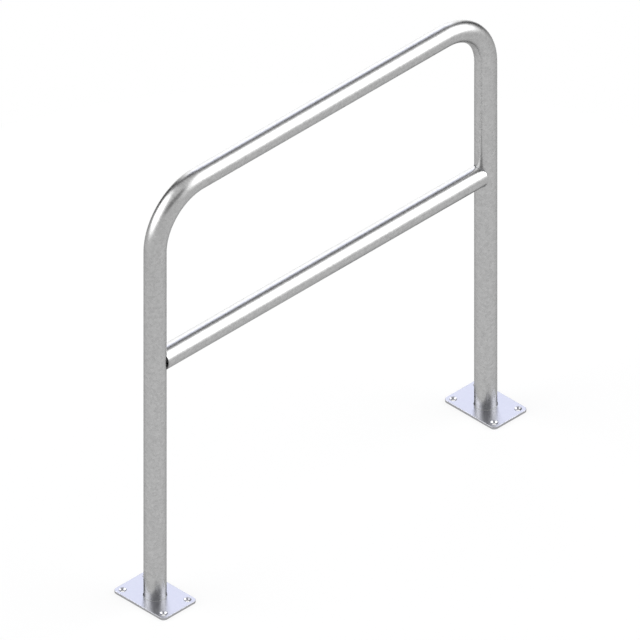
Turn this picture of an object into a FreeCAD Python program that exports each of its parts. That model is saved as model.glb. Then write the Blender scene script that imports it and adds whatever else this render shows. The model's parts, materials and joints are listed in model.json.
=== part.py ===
import FreeCAD, Part
import enum
import math
import os
import Sketcher

# Hoop barrier: a bent tube hoop with one cross rail, welded to two bolt-down base plates.
# Millimetres, +Z up. The origin is on the ground midway between the posts.
# +X runs along the rails and +Y across the barrier.

# Driving sizes
SIZES = {
    "tube_diameter": 48.3,      # outside of the hoop tube
    "tube_wall": 3.0,           # wall of the hoop tube
    "post_spacing": 970,        # between the axes of the two posts
    "overall_height": 1025,     # from the ground to the crown of the top rail
    "bend_radius": 125,         # of the tube's axis in both bends
    "rail_diameter": 48.3,      # outside of the cross rail
    "rail_wall": 3.0,           # wall of the cross rail
    "rail_height": 595,         # from the ground to the cross rail's axis
    "cope_depth": 7,            # how far the rail's square-cut ends reach past the posts' near side
    "plate_length": 150,        # across the barrier
    "plate_width": 100,         # along the barrier
    "plate_thickness": 6,
    "plate_corner_radius": 10,
    "bolt_hole_diameter": 9,
    "countersink_diameter": 16,  # of the bolt holes in the plate's top, cut at 45 degrees
    "bolt_edge_distance": 15,   # from a bolt hole's axis to both near edges of its plate
    "drain_hole_diameter": 20,  # under each post, where zinc drains when the frame is dipped
    "base_weld_leg": 3,
    "rail_weld_leg": 2.5,
    "rail_weld_lip": 0.5,       # blunt edge at both toes of a rail weld's sloped face
}

# Lengths that several pieces share, as expressions of the driving sizes
POST_X = {
    "left": "(-Sizes.post_spacing / 2)",
    "right": "(Sizes.post_spacing / 2)",
}
TUBE_RADIUS = "(Sizes.tube_diameter / 2)"
RAIL_RADIUS = "(Sizes.rail_diameter / 2)"
TOP_AXIS_ABOVE_PLATE = "(Sizes.overall_height - Sizes.tube_diameter / 2 - Sizes.plate_thickness)"
RAIL_SETBACK = "(Sizes.tube_diameter / 2 - Sizes.cope_depth)"
RAIL_LENGTH = f"(Sizes.post_spacing - 2 * {RAIL_SETBACK})"
COPE_HALF_WIDTH = "sqrt(Sizes.cope_depth * (Sizes.tube_diameter - Sizes.cope_depth))"
BOLT_SPACING_X = "(Sizes.plate_width - 2 * Sizes.bolt_edge_distance)"
BOLT_SPACING_Y = "(Sizes.plate_length - 2 * Sizes.bolt_edge_distance)"
COUNTERSINK_DEPTH = "((Sizes.countersink_diameter - Sizes.bolt_hole_diameter) / 2)"


class Point(enum.IntEnum):
    """How a sketch numbers the points of a line, an arc or a circle."""
    START = 1
    END = 2
    CENTRE = 3


class Fixed(enum.IntEnum):
    """How a sketch numbers its own axes."""
    ACROSS_AXIS = -1
    UP_AXIS = -2


# A sketch's origin is the start point of its first axis
ORIGIN = (Fixed.ACROSS_AXIS, Point.START)

BOLTS_PER_PLATE = 4
FULL_TURN = 360
QUARTER_TURN = 90
ALONG_X = FreeCAD.Rotation(FreeCAD.Vector(0, 1, 0), QUARTER_TURN)
UPRIGHT = FreeCAD.Rotation()
VOLUME_TOLERANCE = 1e-4
LENGTH_TOLERANCE = 1e-3


def make_document():
    doc = FreeCAD.newDocument("hoop_barrier")
    sheet = doc.addObject("Spreadsheet::Sheet", "Sizes")
    for row, (alias, value) in enumerate(SIZES.items(), start=1):
        sheet.set(f"A{row}", alias)
        sheet.set(f"B{row}", str(value))
        sheet.setAlias(f"B{row}", alias)
    doc.recompute()
    return doc


def bind(item, expressions):
    for name, expression in expressions.items():
        item.setExpression(name, expression)


def sketch_on(body, name, role):
    plane = next(item for item in body.Origin.OriginFeatures if item.Role == role)
    sketch = body.newObject("Sketcher::SketchObject", name)
    sketch.AttachmentSupport = (plane, [""])
    sketch.MapMode = "FlatFace"
    return sketch


def constrain(sketch, kind, *where):
    return sketch.addConstraint(Sketcher.Constraint(kind, *where))


def dimension(sketch, name, expression, kind, *where):
    index = constrain(sketch, kind, *where)
    sketch.renameConstraint(index, name)
    sketch.setExpression(f"Constraints.{name}", expression)


def draw_outline(sketch, points):
    """Closed outline of straight lines through the points, in order."""
    first = sketch.GeometryCount
    count = len(points)
    for index, point in enumerate(points):
        sketch.addGeometry(Part.LineSegment(point, points[(index + 1) % count]), False)
    for index in range(count):
        constrain(sketch, "Coincident", first + index, Point.END, first + (index + 1) % count, Point.START)


def draw_circle(sketch, centre, diameter):
    circle = Part.Circle(centre, FreeCAD.Vector(0, 0, 1), diameter / 2)
    return sketch.addGeometry(circle, False)


def expect_volume(name, volume, expected):
    if abs(volume - expected) > VOLUME_TOLERANCE * expected:
        raise RuntimeError(f"{name} has volume {volume:.1f}, expected {expected:.1f}")


# Hoop tube

def draw_hoop_path(body):
    """The tube's axis from the left foot over both bends to the right foot."""
    sketch = sketch_on(body, "hoop_path", "XZ_Plane")
    half = SIZES["post_spacing"] / 2
    bend = SIZES["bend_radius"]
    top = SIZES["overall_height"] - SIZES["tube_diameter"] / 2 - SIZES["plate_thickness"]
    normal = FreeCAD.Vector(0, 0, 1)
    left_circle = Part.Circle(FreeCAD.Vector(bend - half, top - bend), normal, bend)
    right_circle = Part.Circle(FreeCAD.Vector(half - bend, top - bend), normal, bend)
    quarter = math.pi / 2

    left_post = sketch.addGeometry(
        Part.LineSegment(FreeCAD.Vector(-half, 0), FreeCAD.Vector(-half, top - bend)), False)
    left_bend = sketch.addGeometry(Part.ArcOfCircle(left_circle, quarter, 2 * quarter), False)
    top_rail = sketch.addGeometry(
        Part.LineSegment(FreeCAD.Vector(bend - half, top), FreeCAD.Vector(half - bend, top)), False)
    right_bend = sketch.addGeometry(Part.ArcOfCircle(right_circle, 0, quarter), False)
    right_post = sketch.addGeometry(
        Part.LineSegment(FreeCAD.Vector(half, top - bend), FreeCAD.Vector(half, 0)), False)

    constrain(sketch, "Tangent", left_post, Point.END, left_bend, Point.END)
    constrain(sketch, "Tangent", left_bend, Point.START, top_rail, Point.START)
    constrain(sketch, "Tangent", top_rail, Point.END, right_bend, Point.END)
    constrain(sketch, "Tangent", right_bend, Point.START, right_post, Point.START)
    constrain(sketch, "Vertical", left_post)
    constrain(sketch, "Horizontal", top_rail)
    constrain(sketch, "Vertical", right_post)
    constrain(sketch, "Equal", left_bend, right_bend)
    constrain(sketch, "PointOnObject", left_post, Point.START, Fixed.ACROSS_AXIS)
    constrain(sketch, "Symmetric", left_post, Point.START, right_post, Point.END, Fixed.UP_AXIS)
    dimension(sketch, "spacing", "Sizes.post_spacing",
              "DistanceX", left_post, Point.START, right_post, Point.END, 2 * half)
    dimension(sketch, "height", TOP_AXIS_ABOVE_PLATE,
              "DistanceY", left_post, Point.START, top_rail, Point.START, top)
    dimension(sketch, "bend", "Sizes.bend_radius", "Radius", left_bend, bend)
    return sketch


def draw_tube_section(body):
    """The tube's wall, across the foot of the left post."""
    sketch = sketch_on(body, "hoop_section", "XY_Plane")
    half = SIZES["post_spacing"] / 2
    outside = SIZES["tube_diameter"]
    bore = outside - 2 * SIZES["tube_wall"]
    foot = FreeCAD.Vector(-half, 0)
    outer = draw_circle(sketch, foot, outside)
    inner = draw_circle(sketch, foot, bore)
    constrain(sketch, "PointOnObject", outer, Point.CENTRE, Fixed.ACROSS_AXIS)
    constrain(sketch, "Coincident", inner, Point.CENTRE, outer, Point.CENTRE)
    dimension(sketch, "from_middle", "Sizes.post_spacing / 2",
              "DistanceX", outer, Point.CENTRE, *ORIGIN, half)
    dimension(sketch, "outside", "Sizes.tube_diameter", "Diameter", outer, outside)
    dimension(sketch, "bore", "Sizes.tube_diameter - 2 * Sizes.tube_wall", "Diameter", inner, bore)
    return sketch


def make_hoop_tube(doc):
    body = doc.addObject("PartDesign::Body", "hoop_tube")
    path = draw_hoop_path(body)
    section = draw_tube_section(body)
    doc.recompute()
    pipe = body.newObject("PartDesign::AdditivePipe", "hoop_pipe")
    pipe.Profile = section
    pipe.Spine = (path, [f"Edge{index + 1}" for index in range(path.GeometryCount)])
    bind(body, {"Placement.Base.z": "Sizes.plate_thickness"})
    doc.recompute()
    wall_area = math.pi * SIZES["tube_wall"] * (SIZES["tube_diameter"] - SIZES["tube_wall"])
    expect_volume("hoop_tube", body.Shape.Volume, wall_area * path.Shape.Length)
    return body


# Cross rail

def make_cylinder(doc, name, turn, expressions):
    cylinder = doc.addObject("Part::Cylinder", name)
    cylinder.Placement = FreeCAD.Placement(FreeCAD.Vector(), turn)
    bind(cylinder, expressions)
    return cylinder


def make_cut(doc, name, base, tool):
    cut = doc.addObject("Part::Cut", name)
    cut.Base = base
    cut.Tool = tool
    return cut


def make_post_outline(doc, name, side, margin):
    """Upright cylinder round a post's axis, long enough to pass the cross rail."""
    return make_cylinder(doc, name, UPRIGHT, {
        "Radius": f"{TUBE_RADIUS} + {margin}",
        "Height": "2 * Sizes.rail_diameter",
        "Placement.Base.x": POST_X[side],
        "Placement.Base.z": "Sizes.rail_height - Sizes.rail_diameter",
    })


def make_cross_rail(doc):
    """Straight tube, square cut and then coped to the round of both posts."""
    start = f"-{RAIL_LENGTH} / 2"
    outside = make_cylinder(doc, "rail_outside", ALONG_X, {
        "Radius": RAIL_RADIUS,
        "Height": RAIL_LENGTH,
        "Placement.Base.x": start,
        "Placement.Base.z": "Sizes.rail_height",
    })
    bore = make_cylinder(doc, "rail_bore", ALONG_X, {
        "Radius": f"{RAIL_RADIUS} - Sizes.rail_wall",
        "Height": RAIL_LENGTH,
        "Placement.Base.x": start,
        "Placement.Base.z": "Sizes.rail_height",
    })
    rail = make_cut(doc, "rail_tube", outside, bore)
    for side in POST_X:
        post = make_post_outline(doc, f"{side}_cope", side, "0")
        rail = make_cut(doc, f"rail_coped_{side}", rail, post)
    rail.Label = "cross_rail"
    return rail


# Base plates

def draw_plate_outline(body, name):
    sketch = sketch_on(body, name, "XY_Plane")
    half_width = SIZES["plate_width"] / 2
    half_length = SIZES["plate_length"] / 2
    corners = [
        FreeCAD.Vector(-half_width, -half_length),
        FreeCAD.Vector(half_width, -half_length),
        FreeCAD.Vector(half_width, half_length),
        FreeCAD.Vector(-half_width, half_length),
    ]
    draw_outline(sketch, corners)
    front, right, back, left = range(len(corners))
    constrain(sketch, "Horizontal", front)
    constrain(sketch, "Vertical", right)
    constrain(sketch, "Horizontal", back)
    constrain(sketch, "Vertical", left)
    constrain(sketch, "Symmetric", front, Point.START, back, Point.START, *ORIGIN)
    dimension(sketch, "width", "Sizes.plate_width",
              "DistanceX", front, Point.START, front, Point.END, 2 * half_width)
    dimension(sketch, "length", "Sizes.plate_length",
              "DistanceY", right, Point.START, right, Point.END, 2 * half_length)
    return sketch


def draw_plate_holes(body, name):
    """A bolt hole near each corner, and the drain hole under the post."""
    sketch = sketch_on(body, name, "XY_Plane")
    half_x = SIZES["plate_width"] / 2 - SIZES["bolt_edge_distance"]
    half_y = SIZES["plate_length"] / 2 - SIZES["bolt_edge_distance"]
    hole = SIZES["bolt_hole_diameter"]
    drain = SIZES["drain_hole_diameter"]
    front_left = draw_circle(sketch, FreeCAD.Vector(-half_x, -half_y), hole)
    front_right = draw_circle(sketch, FreeCAD.Vector(half_x, -half_y), hole)
    back_right = draw_circle(sketch, FreeCAD.Vector(half_x, half_y), hole)
    back_left = draw_circle(sketch, FreeCAD.Vector(-half_x, half_y), hole)
    middle = draw_circle(sketch, FreeCAD.Vector(0, 0), drain)
    constrain(sketch, "Horizontal", front_left, Point.CENTRE, front_right, Point.CENTRE)
    constrain(sketch, "Vertical", front_right, Point.CENTRE, back_right, Point.CENTRE)
    constrain(sketch, "Symmetric", front_left, Point.CENTRE, back_right, Point.CENTRE, *ORIGIN)
    constrain(sketch, "Symmetric", front_right, Point.CENTRE, back_left, Point.CENTRE, *ORIGIN)
    constrain(sketch, "Coincident", middle, Point.CENTRE, *ORIGIN)
    for other in (front_right, back_right, back_left):
        constrain(sketch, "Equal", front_left, other)
    dimension(sketch, "spacing_x", BOLT_SPACING_X,
              "DistanceX", front_left, Point.CENTRE, front_right, Point.CENTRE, 2 * half_x)
    dimension(sketch, "spacing_y", BOLT_SPACING_Y,
              "DistanceY", front_right, Point.CENTRE, back_right, Point.CENTRE, 2 * half_y)
    dimension(sketch, "bolt_hole", "Sizes.bolt_hole_diameter", "Diameter", front_left, hole)
    dimension(sketch, "drain_hole", "Sizes.drain_hole_diameter", "Diameter", middle, drain)
    return sketch


def upright_edges(shape):
    """Names of the edges that run straight up."""
    names = []
    for index, edge in enumerate(shape.Edges):
        box = edge.BoundBox
        if box.ZLength > max(box.XLength, box.YLength):
            names.append(f"Edge{index + 1}")
    return names


def bolt_rims(shape):
    """Names of the bolt holes' edges in the plate's top, the full circles off the post's axis."""
    names = []
    for index, edge in enumerate(shape.Edges):
        on_top = edge.BoundBox.ZMin > SIZES["plate_thickness"] - LENGTH_TOLERANCE
        if on_top and edge.isClosed() and edge.Curve.Center.x ** 2 > LENGTH_TOLERANCE:
            names.append(f"Edge{index + 1}")
    return names


def hole_volume():
    """What the holes take out of one plate."""
    bolt = SIZES["bolt_hole_diameter"] / 2
    rim = SIZES["countersink_diameter"] / 2
    drain = SIZES["drain_hole_diameter"] / 2
    cone = (rim - bolt) * ((rim ** 2 + rim * bolt + bolt ** 2) / 3 - bolt ** 2)
    straight = SIZES["plate_thickness"] * (BOLTS_PER_PLATE * bolt ** 2 + drain ** 2)
    return math.pi * (straight + BOLTS_PER_PLATE * cone)


def make_base_plate(doc, side):
    name = f"{side}_base_plate"
    body = doc.addObject("PartDesign::Body", name)
    pad = body.newObject("PartDesign::Pad", f"{name}_pad")
    pad.Profile = draw_plate_outline(body, f"{name}_outline")
    bind(pad, {"Length": "Sizes.plate_thickness"})
    doc.recompute()
    corners = body.newObject("PartDesign::Fillet", f"{name}_corners")
    corners.Base = (pad, upright_edges(pad.Shape))
    bind(corners, {"Radius": "Sizes.plate_corner_radius"})
    doc.recompute()
    holes = body.newObject("PartDesign::Pocket", f"{name}_holes")
    holes.Profile = draw_plate_holes(body, f"{name}_hole_places")
    holes.Type = "ThroughAll"
    holes.Reversed = True
    doc.recompute()
    countersinks = body.newObject("PartDesign::Chamfer", f"{name}_countersinks")
    countersinks.Base = (holes, bolt_rims(holes.Shape))
    bind(countersinks, {"Size": COUNTERSINK_DEPTH})
    body.Tip = countersinks
    bind(body, {"Placement.Base.x": POST_X[side]})
    doc.recompute()
    expect_volume(name, body.Shape.Volume, corners.Shape.Volume - hole_volume())
    return body


# Welds

def make_base_weld(doc, side):
    """Ring with a three-cornered section in the corner between a post and its plate."""
    name = f"{side}_base_weld"
    body = doc.addObject("PartDesign::Body", name)
    sketch = sketch_on(body, f"{name}_section", "XZ_Plane")
    radius = SIZES["tube_diameter"] / 2
    leg = SIZES["base_weld_leg"]
    root = FreeCAD.Vector(radius, 0)
    draw_outline(sketch, [root, root + FreeCAD.Vector(leg, 0), root + FreeCAD.Vector(0, leg)])
    plate_side, face, post_side = range(3)
    constrain(sketch, "Vertical", post_side)
    constrain(sketch, "Horizontal", plate_side)
    constrain(sketch, "PointOnObject", plate_side, Point.START, Fixed.ACROSS_AXIS)
    dimension(sketch, "root", TUBE_RADIUS, "DistanceX", *ORIGIN, plate_side, Point.START, radius)
    dimension(sketch, "plate_leg", "Sizes.base_weld_leg",
              "DistanceX", plate_side, Point.START, face, Point.START, leg)
    dimension(sketch, "post_leg", "Sizes.base_weld_leg",
              "DistanceY", plate_side, Point.START, face, Point.END, leg)
    ring = body.newObject("PartDesign::Revolution", f"{name}_ring")
    ring.Profile = sketch
    ring.ReferenceAxis = (sketch, ["V_Axis"])
    ring.Angle = FULL_TURN
    bind(body, {"Placement.Base.x": POST_X[side], "Placement.Base.z": "Sizes.plate_thickness"})
    return body


def make_rail_outline(doc, name, start, margin):
    """Cylinder round the cross rail's axis, from a post's axis towards the middle."""
    return make_cylinder(doc, name, ALONG_X, {
        "Radius": f"{RAIL_RADIUS} + {margin}",
        "Height": "Sizes.tube_diameter",
        "Placement.Base.x": start,
        "Placement.Base.z": "Sizes.rail_height",
    })


def outer_corner_edges(shape, side):
    """Numbers of the edges that lie a weld leg away from both the post and the rail."""
    post_x = SIZES["post_spacing"] / 2 * {"left": -1, "right": 1}[side]
    from_post = SIZES["tube_diameter"] / 2 + SIZES["rail_weld_leg"]
    from_rail = SIZES["rail_diameter"] / 2 + SIZES["rail_weld_leg"]
    numbers = []
    for number, edge in enumerate(shape.Edges, start=1):
        middle = edge.valueAt((edge.FirstParameter + edge.LastParameter) / 2)
        post_gap = math.hypot(middle.x - post_x, middle.y) - from_post
        rail_gap = math.hypot(middle.y, middle.z - SIZES["rail_height"]) - from_rail
        if max(abs(post_gap), abs(rail_gap)) < LENGTH_TOLERANCE:
            numbers.append(number)
    return numbers


def make_rail_weld(doc, side, level):
    """Bead with a sloped face, in the corner between a post and an edge of the rail's cope."""
    name = f"{side}_rail_{level}_weld"
    leg = "Sizes.rail_weld_leg"
    starts = {"left": POST_X["left"], "right": f"{POST_X['right']} - Sizes.tube_diameter"}
    bottoms = {"upper": "Sizes.rail_height", "lower": "Sizes.rail_height - Sizes.rail_diameter"}
    start = starts[side]

    reach = doc.addObject("Part::Box", f"{name}_reach")
    bind(reach, {
        "Length": "Sizes.tube_diameter",
        "Width": f"2 * {COPE_HALF_WIDTH}",
        "Height": "Sizes.rail_diameter",
        "Placement.Base.x": start,
        "Placement.Base.y": f"-{COPE_HALF_WIDTH}",
        "Placement.Base.z": bottoms[level],
    })
    near_post = make_post_outline(doc, f"{name}_near_post", side, leg)
    near_rail = make_rail_outline(doc, f"{name}_near_rail", start, leg)
    bead = doc.addObject("Part::MultiCommon", f"{name}_bead")
    bead.Shapes = [near_post, near_rail, reach]
    off_post = make_cut(doc, f"{name}_off_post", bead,
                        make_post_outline(doc, f"{name}_post", side, "0"))
    square = make_cut(doc, f"{name}_off_rail", off_post,
                      make_rail_outline(doc, f"{name}_rail", start, "0"))
    doc.recompute()
    slope = SIZES["rail_weld_leg"] - SIZES["rail_weld_lip"]
    weld = doc.addObject("Part::Chamfer", f"{name}_face")
    weld.Base = square
    weld.Edges = [(number, slope, slope) for number in outer_corner_edges(square.Shape, side)]
    weld.Label = name
    return weld


# Build, check and write

def check_and_write(doc, sub_parts):
    doc.recompute()
    for item in doc.Objects:
        if "Invalid" in item.State or "Error" in item.State:
            raise RuntimeError(f"{item.Label} was not built: {item.State}")
    for sub_part in sub_parts:
        shape = sub_part.Shape
        if shape.isNull() or not shape.isValid() or len(shape.Solids) != 1:
            raise RuntimeError(f"{sub_part.Label} is not one sound solid")
    os.makedirs("parts", exist_ok=True)
    for sub_part in sub_parts:
        sub_part.Shape.exportStep(f"parts/{sub_part.Label}.step")


def main():
    doc = make_document()
    sub_parts = [make_hoop_tube(doc), make_cross_rail(doc)]
    for side in POST_X:
        sub_parts.append(make_base_plate(doc, side))
        sub_parts.append(make_base_weld(doc, side))
        for level in ("upper", "lower"):
            sub_parts.append(make_rail_weld(doc, side, level))
    check_and_write(doc, sub_parts)


main()
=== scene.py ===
import json
import math

import bmesh
import bpy
from mathutils import Matrix, Vector


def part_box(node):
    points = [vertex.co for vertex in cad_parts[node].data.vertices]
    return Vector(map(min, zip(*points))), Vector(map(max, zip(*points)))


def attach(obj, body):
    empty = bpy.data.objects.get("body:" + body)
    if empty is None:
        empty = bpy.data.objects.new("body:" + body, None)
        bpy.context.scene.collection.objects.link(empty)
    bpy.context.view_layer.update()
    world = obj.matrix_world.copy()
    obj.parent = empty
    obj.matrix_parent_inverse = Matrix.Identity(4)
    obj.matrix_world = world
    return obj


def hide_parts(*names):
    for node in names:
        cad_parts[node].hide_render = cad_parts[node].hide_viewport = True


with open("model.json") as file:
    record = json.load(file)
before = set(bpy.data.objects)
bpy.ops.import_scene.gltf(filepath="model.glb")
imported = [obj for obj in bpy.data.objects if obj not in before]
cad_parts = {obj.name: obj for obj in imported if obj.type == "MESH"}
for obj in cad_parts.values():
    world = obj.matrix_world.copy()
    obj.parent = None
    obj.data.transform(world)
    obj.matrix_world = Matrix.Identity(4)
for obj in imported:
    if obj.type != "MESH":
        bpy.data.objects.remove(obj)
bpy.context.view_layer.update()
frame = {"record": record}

MILLIMETRE = 0.001
FULL_TURN = math.radians(360)
QUARTER_TURN = math.radians(90)

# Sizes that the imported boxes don't give, in metres.
BEND_RADIUS = 125 * MILLIMETRE
TUBE_WALL = 3 * MILLIMETRE
PLATE_CORNER_RADIUS = 10 * MILLIMETRE
PLATE_EDGE_ROUNDING = 0.5 * MILLIMETRE
COUNTERSINK_RADIUS = 8 * MILLIMETRE
DRAIN_HOLE_RADIUS = 10 * MILLIMETRE

# Sizes and places read from the frame.
mounts = {mount["name"]: mount for mount in frame["record"]["mounts"]}
hoop_low, hoop_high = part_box("hoop_tube")
rail_low, rail_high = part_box("cross_rail")
POST_X = mounts["right_bolts"]["pos_m"][0]
POST_FOOT_Z = hoop_low.z
TUBE_RADIUS = hoop_high.x - POST_X
TOP_RAIL_Z = hoop_high.z - TUBE_RADIUS
CROSS_RAIL_RADIUS = (rail_high.z - rail_low.z) / 2
CROSS_RAIL_Z = (rail_high.z + rail_low.z) / 2
CROSS_RAIL_SETBACK = POST_X - rail_high.x

# How finely the meshes are cut.
TUBE_SIDES = 96
RUN_LENGTH = 40 * MILLIMETRE
BEND_STEPS = 36
CORNER_STEPS = 10
HOLE_SIDES = 48
EDGE_STEPS = 3
WELD_FACE_CUTS = 6
SHARP_EDGE = math.radians(35)


def linear_colour(hex_text):
    """The linear RGBA of an sRGB colour written as #RRGGBB."""
    channels = [int(hex_text[start:start + 2], 16) / 255 for start in (1, 3, 5)]
    linear = [c / 12.92 if c <= 0.04045 else ((c + 0.055) / 1.055) ** 2.4 for c in channels]
    return (*linear, 1.0)


def add_node(tree, kind, inputs=None, **settings):
    """A node with its settings, whose inputs are plain values or other nodes' outputs."""
    # Inputs go by name or number: a Mix node has its amount at 0, numbers at 2 and 3, colours at 6 and 7.
    node = tree.nodes.new(kind)
    for name, value in settings.items():
        setattr(node, name, value)
    for socket, value in (inputs or {}).items():
        if isinstance(value, bpy.types.NodeSocket):
            tree.links.new(value, node.inputs[socket])
        else:
            node.inputs[socket].default_value = value
    return node


def sweep(bm, edges, steps, offset=(0, 0, 0), centre=(0, 0, 0), axis=(0, 1, 0), angle=0.0):
    """Draws edges out along a straight run or round a bend, and gives the edges at the far end."""
    made = bmesh.ops.spin(bm, geom=edges, cent=centre, axis=axis, dvec=offset, angle=angle,
                          steps=steps, use_merge=False)
    return [item for item in made["geom_last"] if isinstance(item, bmesh.types.BMEdge)]


def sweep_run(bm, edges, run):
    """A straight run of tube, cut into rings about RUN_LENGTH apart."""
    steps = max(1, round(run.length / RUN_LENGTH))
    return sweep(bm, edges, steps, offset=run / steps)


def finish_piece(bm, node, material):
    """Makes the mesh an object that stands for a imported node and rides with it."""
    for face in bm.faces:
        face.smooth = True
    for edge in bm.edges:
        edge.smooth = edge.is_manifold and edge.calc_face_angle() < SHARP_EDGE
    mesh = bpy.data.meshes.new(node + "_finished")
    bm.to_mesh(mesh)
    bm.free()
    mesh.materials.append(material)
    piece = bpy.data.objects.new(mesh.name, mesh)
    bpy.context.scene.collection.objects.link(piece)
    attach(piece, "root")
    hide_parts(node)
    return piece


# Tubes

def add_wall(bm):
    """Gives an open tube skin its wall, inwards from the outer surface."""
    bmesh.ops.recalc_face_normals(bm, faces=bm.faces)
    bmesh.ops.solidify(bm, geom=bm.faces[:], thickness=TUBE_WALL)


def hoop_tube(material):
    """One tube: up the left post, round the bend, along the top, round and down the right post."""
    bm = bmesh.new()
    left_foot = Matrix.Translation((-POST_X, 0, POST_FOOT_Z))
    bmesh.ops.create_circle(bm, cap_ends=False, radius=TUBE_RADIUS, segments=TUBE_SIDES,
                            matrix=left_foot)
    bend_z = TOP_RAIL_Z - BEND_RADIUS
    bend_x = POST_X - BEND_RADIUS
    post_run = Vector((0, 0, bend_z - POST_FOOT_Z))
    top_run = Vector((2 * bend_x, 0, 0))
    end = bm.edges[:]
    end = sweep_run(bm, end, post_run)
    end = sweep(bm, end, BEND_STEPS, centre=(-bend_x, 0, bend_z), angle=QUARTER_TURN)
    end = sweep_run(bm, end, top_run)
    end = sweep(bm, end, BEND_STEPS, centre=(bend_x, 0, bend_z), angle=QUARTER_TURN)
    sweep_run(bm, end, -post_run)
    add_wall(bm)
    return finish_piece(bm, "hoop_tube", material)


def cope_ends(bm, straight_x):
    """Shapes the rail's end rings to the posts, with the tips cut off square."""
    for vert in bm.verts:
        if abs(vert.co.x) <= straight_x:
            continue
        reach = math.sqrt(max(TUBE_RADIUS ** 2 - vert.co.y ** 2, 0))
        end_x = POST_X - max(reach, CROSS_RAIL_SETBACK)
        vert.co.x = math.copysign(end_x, vert.co.x)


def cross_rail(material):
    """A straight tube between the posts, its end rings shaped to them."""
    bm = bmesh.new()
    straight_x = POST_X - TUBE_RADIUS - TUBE_WALL
    across = Matrix.Rotation(QUARTER_TURN, 4, "Y")
    left_end = Matrix.Translation((-rail_high.x, 0, CROSS_RAIL_Z)) @ across
    bmesh.ops.create_circle(bm, cap_ends=False, radius=CROSS_RAIL_RADIUS, segments=TUBE_SIDES,
                            matrix=left_end)
    end_run = Vector((rail_high.x - straight_x, 0, 0))
    end = bm.edges[:]
    end = sweep(bm, end, 1, offset=end_run)
    end = sweep_run(bm, end, Vector((2 * straight_x, 0, 0)))
    sweep(bm, end, 1, offset=end_run)
    add_wall(bm)
    cope_ends(bm, straight_x + TUBE_WALL / 10)
    return finish_piece(bm, "cross_rail", material)


# Base plates

# Faces within the first angle of level are flat, and those past the second are the plate's edges, which
# take the darker copy of the zinc as painted shade.
LEVEL_TILT = math.radians(1)
SIDE_TILT = math.radians(60)


def plate_outline(bm, low, high):
    """The side wall of a rectangular plate with rounded corners."""
    middle = (low + high) / 2
    place = Matrix.Translation((middle.x, middle.y, low.z))
    size = Matrix.Diagonal((high.x - low.x, high.y - low.y, 1, 1))
    bmesh.ops.create_grid(bm, x_segments=1, y_segments=1, size=0.5, matrix=place @ size)
    bmesh.ops.bevel(bm, geom=bm.verts[:], offset=PLATE_CORNER_RADIUS, offset_type="OFFSET",
                    affect="VERTICES", segments=CORNER_STEPS, profile=0.5, material=-1)
    bmesh.ops.delete(bm, geom=bm.faces[:], context="FACES_ONLY")
    sweep(bm, bm.edges[:], 1, offset=(0, 0, high.z - low.z))


def round_hole(bm, centre, section):
    """The wall of a hole, turned round its axis from its radius at each height."""
    verts = [bm.verts.new(centre + Vector((radius, 0, height))) for radius, height in section]
    edges = [bm.edges.new(pair) for pair in zip(verts, verts[1:])]
    bmesh.ops.spin(bm, geom=edges, cent=centre, axis=(0, 0, 1), angle=FULL_TURN,
                   steps=HOLE_SIDES, use_merge=True)


def plate_holes(bm, mount, low, high):
    """Four countersunk bolt holes, and the drain hole under the post."""
    thickness = high.z - low.z
    post = Vector((mount["pos_m"][0], mount["pos_m"][1], low.z))
    reach_x = mount["dims"]["spacing_x_mm"] * MILLIMETRE / 2
    reach_y = mount["dims"]["spacing_y_mm"] * MILLIMETRE / 2
    bolt_radius = mount["dims"]["hole_r_mm"] * MILLIMETRE
    sink_z = thickness - (COUNTERSINK_RADIUS - bolt_radius)
    bolt_hole = [(bolt_radius, 0), (bolt_radius, sink_z), (COUNTERSINK_RADIUS, thickness)]
    round_hole(bm, post, [(DRAIN_HOLE_RADIUS, 0), (DRAIN_HOLE_RADIUS, thickness)])
    for side_x in (-1, 1):
        for side_y in (-1, 1):
            round_hole(bm, post + Vector((side_x * reach_x, side_y * reach_y, 0)), bolt_hole)


def close_plate(bm, face_z):
    """The flat face that joins the plate's side wall and its holes at one height."""
    rims = [edge for edge in bm.edges
            if edge.is_boundary and all(abs(vert.co.z - face_z) < PLATE_EDGE_ROUNDING
                                        for vert in edge.verts)]
    bmesh.ops.triangle_fill(bm, use_beauty=True, edges=rims, normal=(0, 0, 1))


def base_plate(side, lit_flat_finish, shaded_edge_finish):
    """A flat plate with rounded corners, countersunk bolt holes and softened edges."""
    node = side + "_base_plate"
    low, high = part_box(node)
    bm = bmesh.new()
    plate_outline(bm, low, high)
    plate_holes(bm, mounts[side + "_bolts"], low, high)
    close_plate(bm, low.z)
    close_plate(bm, high.z)
    bmesh.ops.recalc_face_normals(bm, faces=bm.faces)
    rims = [edge for edge in bm.edges if edge.calc_face_angle() > SHARP_EDGE]
    bmesh.ops.bevel(bm, geom=rims, offset=PLATE_EDGE_ROUNDING, offset_type="OFFSET",
                    affect="EDGES", segments=EDGE_STEPS, profile=0.5, material=-1)
    piece = finish_piece(bm, node, lit_flat_finish)
    # The side walls take a darker copy of the zinc than the level and sloped faces: painted shade beside
    # a painted lighter, bluish top.
    piece.data.materials.append(shaded_edge_finish)
    for face in piece.data.polygons:
        level_face = abs(face.normal.z) > math.cos(LEVEL_TILT)
        shaded_side_wall = abs(face.normal.z) < math.cos(SIDE_TILT)
        face.use_smooth = not level_face
        face.material_index = 1 if shaded_side_wall else 0
    return piece


# Welds

# The visible bead at a post's foot takes up this share of its packed leg, too fine to catch the eye.
BASE_BEAD_SHARE = 0.6
# How deep the face is hollowed, as a share of the leg, and how far the root reaches into the metal.
WELD_HOLLOW = 0.25
WELD_ROOT_DEPTH = 0.2 * MILLIMETRE
BASE_WELD_STEPS = 256
RAIL_WELD_STEPS = 72
RAIL_WELD_HALF_ARC = math.radians(44)
# A rail weld thins at its ends to this share, and the higher the power the later it does so.
END_SHARE = 0.3
END_POWER = 6
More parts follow.
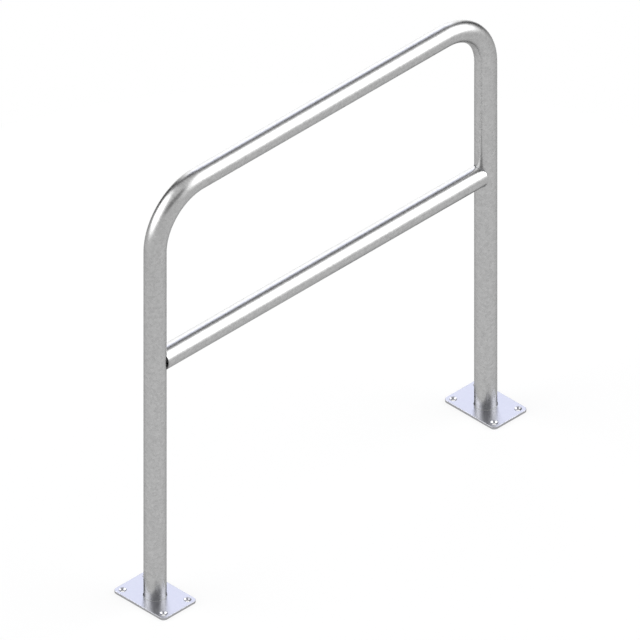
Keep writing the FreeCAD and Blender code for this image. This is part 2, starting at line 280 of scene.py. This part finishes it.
# Ripples along a bead: their pitch and height, how slowly they drift, and how they fade at the toes.
RIPPLE_PITCH = 2.2 * MILLIMETRE
RIPPLE_HEIGHT = 0.06 * MILLIMETRE
MEAN_SCALLOP = 0.6
DRIFT_SHARE = 0.2
SLOW_DRIFT = 5 * RIPPLE_PITCH
QUICK_DRIFT = 3.1 * RIPPLE_PITCH
TOE_FADE = 0.25


def weld_section(bm, leg, corner, out, up):
    """The three-cornered section of a fillet weld, with a hollow face, as a loop of edges."""
    upper_toe = corner + up * leg - out * WELD_ROOT_DEPTH
    outer_toe = corner + out * leg - up * WELD_ROOT_DEPTH
    root = corner - (out + up) * WELD_ROOT_DEPTH
    upper, outer, inner = [bm.verts.new(place) for place in (upper_toe, outer_toe, root)]
    face_edge = bm.edges.new((upper, outer))
    bm.edges.new((inner, upper))
    bm.edges.new((outer, inner))
    cut = bmesh.ops.subdivide_edges(bm, edges=[face_edge], cuts=WELD_FACE_CUTS)
    face_verts = [item for item in cut["geom_inner"] if isinstance(item, bmesh.types.BMVert)]
    for vert in face_verts:
        along = (vert.co - upper_toe).length / (outer_toe - upper_toe).length
        vert.co -= (out + up).normalized() * WELD_HOLLOW * leg * math.sin(math.pi * along)
    return bm.edges[:]


def ripple(distance, reach, rise, leg):
    """How proud a weld's face stands at a distance along the bead: scallops that fade at its toes."""
    scallop = abs(math.sin(math.pi * distance / RIPPLE_PITCH))
    drift = math.sin(distance / SLOW_DRIFT) + math.sin(distance / QUICK_DRIFT + 1)
    fade = min(max(min(reach, rise), 0) / (TOE_FADE * leg), 1)
    return RIPPLE_HEIGHT * (scallop - MEAN_SCALLOP + DRIFT_SHARE * drift) * fade


def base_weld(side, material):
    """A rippled fillet weld all round the foot of a post."""
    node = side + "_base_weld"
    low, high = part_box(node)
    leg = (high.z - low.z) * BASE_BEAD_SHARE
    post = Vector((mounts[side + "_bolts"]["pos_m"][0], 0, low.z))
    bm = bmesh.new()
    out = Vector((1, 0, 0))
    up = Vector((0, 0, 1))
    loop = weld_section(bm, leg, post + out * TUBE_RADIUS, out, up)
    bmesh.ops.spin(bm, geom=loop, cent=post, axis=up, angle=FULL_TURN,
                   steps=BASE_WELD_STEPS, use_merge=True)
    for vert in bm.verts:
        arm = vert.co - post
        rise = arm.z
        arm.z = 0
        distance = math.atan2(arm.y, arm.x) * TUBE_RADIUS
        vert.co += (arm.normalized() + up) * ripple(distance, arm.length - TUBE_RADIUS, rise, leg)
    bmesh.ops.recalc_face_normals(bm, faces=bm.faces)
    return finish_piece(bm, node, material)


def lay_on_post(bm, corner, leg):
    """Bends a weld swept round the rail to the side of the post, and thins it towards its ends."""
    centre = Vector((0, 0, CROSS_RAIL_Z))
    for vert in bm.verts:
        turn = math.atan2(vert.co.y, vert.co.z - CROSS_RAIL_Z)
        radial = Vector((0, math.sin(turn), math.cos(turn)))
        rise = math.hypot(vert.co.y, vert.co.z - CROSS_RAIL_Z) - CROSS_RAIL_RADIUS
        reach = corner.x - vert.co.x
        fullness = math.sqrt(max(1 - (turn / RAIL_WELD_HALF_ARC) ** END_POWER, 0))
        swell = END_SHARE + (1 - END_SHARE) * fullness
        proud = ripple(turn * CROSS_RAIL_RADIUS, reach, rise, leg)
        vert.co = centre + radial * (CROSS_RAIL_RADIUS + rise * swell + proud)
        post_reach = math.sqrt(TUBE_RADIUS ** 2 - vert.co.y ** 2)
        vert.co.x = POST_X - post_reach - reach * swell - proud


def rail_weld(side, level, material):
    """A rippled fillet weld along the upper or lower edge of one cope of the cross rail."""
    node = f"{side}_rail_{level}_weld"
    low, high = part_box(node)
    leg = POST_X - TUBE_RADIUS - min(abs(low.x), abs(high.x))
    centre = Vector((0, 0, CROSS_RAIL_Z))
    out = Vector((-1, 0, 0))
    up = Vector((0, 0, 1))
    bm = bmesh.new()
    corner = Vector((POST_X - TUBE_RADIUS, 0, CROSS_RAIL_Z + CROSS_RAIL_RADIUS))
    loop = weld_section(bm, leg, corner, out, up)
    bmesh.ops.rotate(bm, verts=bm.verts[:], cent=centre,
                     matrix=Matrix.Rotation(-RAIL_WELD_HALF_ARC, 3, "X"))
    sweep(bm, loop, RAIL_WELD_STEPS, centre=centre, axis=(1, 0, 0), angle=2 * RAIL_WELD_HALF_ARC)
    ends = [edge for edge in bm.edges if edge.is_boundary]
    bmesh.ops.holes_fill(bm, edges=ends)
    lay_on_post(bm, corner, leg)
    mirror_x = math.copysign(1, low.x)
    mirror_z = 1 if level == "upper" else -1
    bmesh.ops.scale(bm, verts=bm.verts[:], vec=(mirror_x, 1, mirror_z),
                    space=Matrix.Translation(-centre))
    bmesh.ops.recalc_face_normals(bm, faces=bm.faces)
    return finish_piece(bm, node, material)


# Finishes

# How much of its mirror zinc keeps at a glancing angle: tubes look darker at their sides, and plates
# seen from low down stay grey under the lights.
ROUND_GLANCE = 0.55
FLAT_GLANCE = 0.25
# How much finer the frost is than the crystals, and how far these run into one another.
FROST_FINENESS = 2.5
CRYSTAL_BLUR = 0.5
# The range of the crystals' pattern, and the share by which their gloss varies either way.
PATTERN_LOW = 0.4
PATTERN_HIGH = 1.6
GLOSS_SPREAD = 0.07


def zinc_material(name, zinc_hex, spangle_size, contrast, roughness, bump_height, glance):
    """Hot-dip zinc: a dull mirror whose crystals differ a little in shade and gloss."""
    material = bpy.data.materials.new(name)
    material.use_nodes = True
    tree = material.node_tree
    tree.nodes.clear()
    coordinates = add_node(tree, "ShaderNodeTexCoord").outputs["Object"]
    wander = add_node(tree, "ShaderNodeTexNoise",
                      {"Vector": coordinates, "Scale": 1 / spangle_size, "Detail": 2.0})
    bent = add_node(tree, "ShaderNodeVectorMath",
                    {0: wander.outputs["Color"], 1: (spangle_size / 2,) * 3, 2: coordinates},
                    operation="MULTIPLY_ADD")
    crystals = add_node(tree, "ShaderNodeTexVoronoi",
                        {"Vector": bent.outputs[0], "Scale": 1 / spangle_size,
                         "Smoothness": CRYSTAL_BLUR},
                        feature="SMOOTH_F1")
    frost = add_node(tree, "ShaderNodeTexNoise",
                     {"Vector": coordinates, "Scale": FROST_FINENESS / spangle_size, "Detail": 3.0})
    pattern = add_node(tree, "ShaderNodeMath",
                       {0: crystals.outputs["Color"], 1: frost.outputs["Fac"]}, operation="ADD")
    spread = {"Value": pattern.outputs[0], "From Min": PATTERN_LOW, "From Max": PATTERN_HIGH}
    shade = add_node(tree, "ShaderNodeMapRange",
                     {**spread, "To Min": 1 - contrast, "To Max": 1 + contrast})
    colour = add_node(tree, "ShaderNodeVectorMath",
                      {0: linear_colour(zinc_hex)[:3], "Scale": shade.outputs[0]},
                      operation="SCALE")
    gloss = add_node(tree, "ShaderNodeMapRange",
                     {**spread, "To Min": roughness * (1 - GLOSS_SPREAD),
                      "To Max": roughness * (1 + GLOSS_SPREAD)})
    relief = add_node(tree, "ShaderNodeBump",
                      {"Height": frost.outputs["Fac"], "Distance": bump_height})
    shader = add_node(tree, "ShaderNodeBsdfPrincipled",
                      {"Base Color": colour.outputs[0], "Metallic": 1.0,
                       "Specular Tint": (glance, glance, glance, 1.0),
                       "Roughness": gloss.outputs[0], "Normal": relief.outputs[0]})
    add_node(tree, "ShaderNodeOutputMaterial", {"Surface": shader.outputs[0]})
    return material


def galvanised_tube():
    """Drawn tube dipped in zinc: mid grey, satin, faintly mottled by crystals a few mm wide."""
    return zinc_material("galvanised_tube", "#AFAFAF", spangle_size=5 * MILLIMETRE, contrast=0.14,
                         roughness=0.28, bump_height=0.01 * MILLIMETRE, glance=ROUND_GLANCE)


def lit_plate_zinc():
    """Flat plate dipped in zinc, smooth and even: the lit copy of the plate's zinc, lighter than the side
    walls, with a bluish cast painted in for the bluish light its top mirrors.
    """
    return zinc_material("lit_plate_zinc", "#B1B2B9", spangle_size=9 * MILLIMETRE, contrast=0.05,
                         roughness=0.3, bump_height=0.005 * MILLIMETRE, glance=FLAT_GLANCE)


def shaded_edge_zinc():
    """Cut edges and straight hole walls of the plates under zinc: a plain, even grey, darker than the
    plate's top as painted shade on these upright faces.
    """
    return zinc_material("shaded_edge_zinc", "#A2A2A5", spangle_size=4 * MILLIMETRE, contrast=0.08,
                         roughness=0.28, bump_height=0.01 * MILLIMETRE, glance=ROUND_GLANCE)


def dull_weld_and_crease_shade():
    """Weld bead under zinc: a darker grey than the drawn tube and a little rougher, the darkness partly
    the duller bead and partly painted shade for the creases where the welds meet post, plate and rail.
    """
    return zinc_material("dull_weld_and_crease_shade", "#808183", spangle_size=3 * MILLIMETRE, contrast=0.12,
                         roughness=0.42, bump_height=0.01 * MILLIMETRE, glance=ROUND_GLANCE)


# Studio

# The floor: its size, its gap under the plates, its colour, and the share of it that takes a shadow.
FLOOR_RADIUS = 1.5
FLOOR_DROP = 0.2 * MILLIMETRE
FLOOR_HEX = "#D4D4D4"
FLOOR_SHADOW = 0.2
# Light levels, where 1 is white.
SOFTBOX_LEVEL = 4.5
BACKDROP_LEVEL = 2.94
WALL_LEVEL = 0.93
CEILING_LEVEL = 0.96
FAR_END_LEVEL = 0.015
CAMERA_SIDE_LEVEL = 0.32
# The faint sky tone high in the backdrop, and what it multiplies the light there by.
SKY_HEX = "#ECEFFF"
SKY_LEVEL = 1.13
# The walls pass into the ceiling between these heights, for a direction of length one.
WALL_TOP = 0.3
CEILING_EDGE = 0.8
# An isometric view: how far it turns and rises, where it aims, from how far, and the width it takes in.
VIEW_TURN = math.radians(45)
VIEW_RISE = math.atan(math.sqrt(0.5))
VIEW_AIM = Vector((-0.00055, 0.00055, 0.4613))
VIEW_DISTANCE = 4
VIEW_WIDTH = 1.3276


def floor_finish():
    """Pale matt board, white to the eye and in the metal, which keeps part of its shadow."""
    material = bpy.data.materials.new("white_floor")
    material.use_nodes = True
    material.cycles.emission_sampling = "NONE"
    tree = material.node_tree
    tree.nodes.clear()
    rays = add_node(tree, "ShaderNodeLightPath").outputs
    lit = add_node(tree, "ShaderNodeBsdfDiffuse", {"Color": linear_colour(FLOOR_HEX)})
    white = add_node(tree, "ShaderNodeEmission", {"Strength": 1.0})
    seen = rays["Is Camera Ray"]
    for kind in ("Is Glossy Ray", "Is Transmission Ray"):
        either = add_node(tree, "ShaderNodeMath", {0: seen, 1: rays[kind]}, operation="MAXIMUM")
        seen = either.outputs[0]
    amount = add_node(tree, "ShaderNodeMath", {0: seen, 1: 1 - FLOOR_SHADOW}, operation="MULTIPLY")
    mixed = add_node(tree, "ShaderNodeMixShader",
                     {0: amount.outputs[0], 1: lit.outputs[0], 2: white.outputs[0]})
    add_node(tree, "ShaderNodeOutputMaterial", {"Surface": mixed.outputs[0]})
    return material


def plain_floor():
    """A plain round floor just under the plates."""
    bm = bmesh.new()
    bmesh.ops.create_circle(bm, cap_ends=True, radius=FLOOR_RADIUS, segments=TUBE_SIDES,
                            matrix=Matrix.Translation((0, 0, -FLOOR_DROP)))
    mesh = bpy.data.meshes.new("floor")
    bm.to_mesh(mesh)
    bm.free()
    mesh.materials.append(floor_finish())
    floor = bpy.data.objects.new("floor", mesh)
    bpy.context.scene.collection.objects.link(floor)


def soft_patch(tree, direction, under, level, turn, elevation, width, height, roll, softness):
    """Lays a soft-edged oval of one light level over the studio, placed in degrees round the object."""
    # A turn of nothing is straight ahead of the view, and more is to its right.
    azimuth = VIEW_TURN - math.radians(turn)
    tilt = math.radians(elevation)
    middle = (math.cos(tilt) * math.cos(azimuth), math.cos(tilt) * math.sin(azimuth), math.sin(tilt))
    reach = 1 + softness
    placed = add_node(tree, "ShaderNodeMapping",
                      {"Vector": direction, "Location": middle,
                       "Rotation": (math.radians(roll), -tilt, azimuth),
                       "Scale": (reach, width * reach, height * reach)},
                      vector_type="TEXTURE")
    fall = add_node(tree, "ShaderNodeTexGradient", {"Vector": placed.outputs[0]},
                    gradient_type="SPHERICAL")
    edge = add_node(tree, "ShaderNodeMapRange",
                    {"Value": fall.outputs["Fac"], "From Min": 0.0,
                     "From Max": 2 * softness / reach},
                    interpolation_type="SMOOTHSTEP")
    laid = add_node(tree, "ShaderNodeMix", {0: edge.outputs[0], 2: under, 3: level},
                    data_type="FLOAT")
    return laid.outputs[0]


def lit_backdrop(tree, direction, under, level, turn, half_width, side_fade, top, top_fade):
    """Lays an upright lit backdrop over the studio, with straight sides and a soft top."""
    turned = add_node(tree, "ShaderNodeMapping",
                      {"Vector": direction, "Rotation": (0, 0, VIEW_TURN - math.radians(turn))},
                      vector_type="TEXTURE")
    ahead, left, height = add_node(tree, "ShaderNodeSeparateXYZ", {0: turned.outputs[0]}).outputs
    aside = add_node(tree, "ShaderNodeMath", {0: left}, operation="ABSOLUTE").outputs[0]
    amount = add_node(tree, "ShaderNodeMath", {0: ahead, 1: 0.0}, operation="GREATER_THAN")
    for value, edge, fade in ((aside, half_width, side_fade), (height, top, top_fade)):
        inside = add_node(tree, "ShaderNodeMapRange",
                          {"Value": value, "From Min": edge - fade, "From Max": edge + fade,
                           "To Min": 1.0, "To Max": 0.0},
                          interpolation_type="SMOOTHSTEP")
        amount = add_node(tree, "ShaderNodeMath", {0: amount.outputs[0], 1: inside.outputs[0]},
                          operation="MULTIPLY")
    laid = add_node(tree, "ShaderNodeMix", {0: amount.outputs[0], 2: under, 3: level},
                    data_type="FLOAT")
    return laid.outputs[0]


def studio():
    """Soft light from all round: pale walls, a dark far end, a lit backdrop and two side softboxes."""
    world = bpy.data.worlds.new("studio")
    bpy.context.scene.world = world
    world.use_nodes = True
    tree = world.node_tree
    tree.nodes.clear()
    direction = add_node(tree, "ShaderNodeTexCoord").outputs["Generated"]
    height = add_node(tree, "ShaderNodeSeparateXYZ", {0: direction}).outputs["Z"]
    walls = add_node(tree, "ShaderNodeMapRange",
                     {"Value": height, "From Min": WALL_TOP, "From Max": CEILING_EDGE,
                      "To Min": WALL_LEVEL, "To Max": CEILING_LEVEL},
                     interpolation_type="SMOOTHSTEP")
    light = walls.outputs[0]
    light = soft_patch(tree, direction, light, FAR_END_LEVEL, turn=-5.8, elevation=23,
                       width=1.09, height=0.704, roll=5.8, softness=0.27)
    light = soft_patch(tree, direction, light, CAMERA_SIDE_LEVEL, turn=156, elevation=47,
                       width=0.64, height=0.262, roll=0, softness=0.28)
    light = lit_backdrop(tree, direction, light, BACKDROP_LEVEL, turn=-4, half_width=0.296,
                         side_fade=0.18, top=0.645, top_fade=0.124)
    light = soft_patch(tree, direction, light, SOFTBOX_LEVEL, turn=-94.6, elevation=28.6,
                       width=0.488, height=0.451, roll=17.8, softness=0.54)
    light = soft_patch(tree, direction, light, SOFTBOX_LEVEL, turn=79.8, elevation=29,
                       width=0.441, height=0.51, roll=56.3, softness=0.53)
    sky = soft_patch(tree, direction, 0.0, 1.0, turn=0, elevation=37, width=0.2, height=0.2,
                     roll=0, softness=0.5)
    tone = add_node(tree, "ShaderNodeMix",
                    {0: sky, 6: linear_colour("#FFFFFF"),
                     7: [SKY_LEVEL * channel for channel in linear_colour(SKY_HEX)]},
                    data_type="RGBA")
    seen = add_node(tree, "ShaderNodeLightPath").outputs["Is Camera Ray"]
    shown = add_node(tree, "ShaderNodeMix", {0: seen, 2: light, 3: 1.0}, data_type="FLOAT")
    glow = add_node(tree, "ShaderNodeBackground",
                    {"Color": tone.outputs[2], "Strength": shown.outputs[0]})
    add_node(tree, "ShaderNodeOutputWorld", {"Surface": glow.outputs[0]})


def photograph_camera():
    """A parallel view from the front left and above, as an isometric drawing has it."""
    camera = bpy.data.objects.new("camera", bpy.data.cameras.new("camera"))
    camera.data.type = "ORTHO"
    camera.data.ortho_scale = VIEW_WIDTH
    turn = Matrix.Rotation(-VIEW_TURN, 4, "Z")
    tilt = Matrix.Rotation(QUARTER_TURN - VIEW_RISE, 4, "X")
    back = Matrix.Translation((0, 0, VIEW_DISTANCE))
    camera.matrix_world = Matrix.Translation(VIEW_AIM) @ turn @ tilt @ back
    bpy.context.scene.collection.objects.link(camera)
    bpy.context.scene.camera = camera


tube_finish = galvanised_tube()
# The plates take a lighter, bluish copy of the zinc on top and a darker one on their side walls: painted
# light and painted shade.
lit_plate_finish = lit_plate_zinc()
shaded_edge_finish = shaded_edge_zinc()
# The welds' darker grey is partly the duller bead and partly painted shade in the creases at the joints.
weld_and_crease_shade_finish = dull_weld_and_crease_shade()
hoop_tube(tube_finish)
cross_rail(tube_finish)
for side in ("left", "right"):
    base_plate(side, lit_plate_finish, shaded_edge_finish)
    base_weld(side, weld_and_crease_shade_finish)
    for level in ("upper", "lower"):
        rail_weld(side, level, weld_and_crease_shade_finish)
plain_floor()
studio()
photograph_camera()
bpy.context.scene.view_settings.view_transform = "Standard"
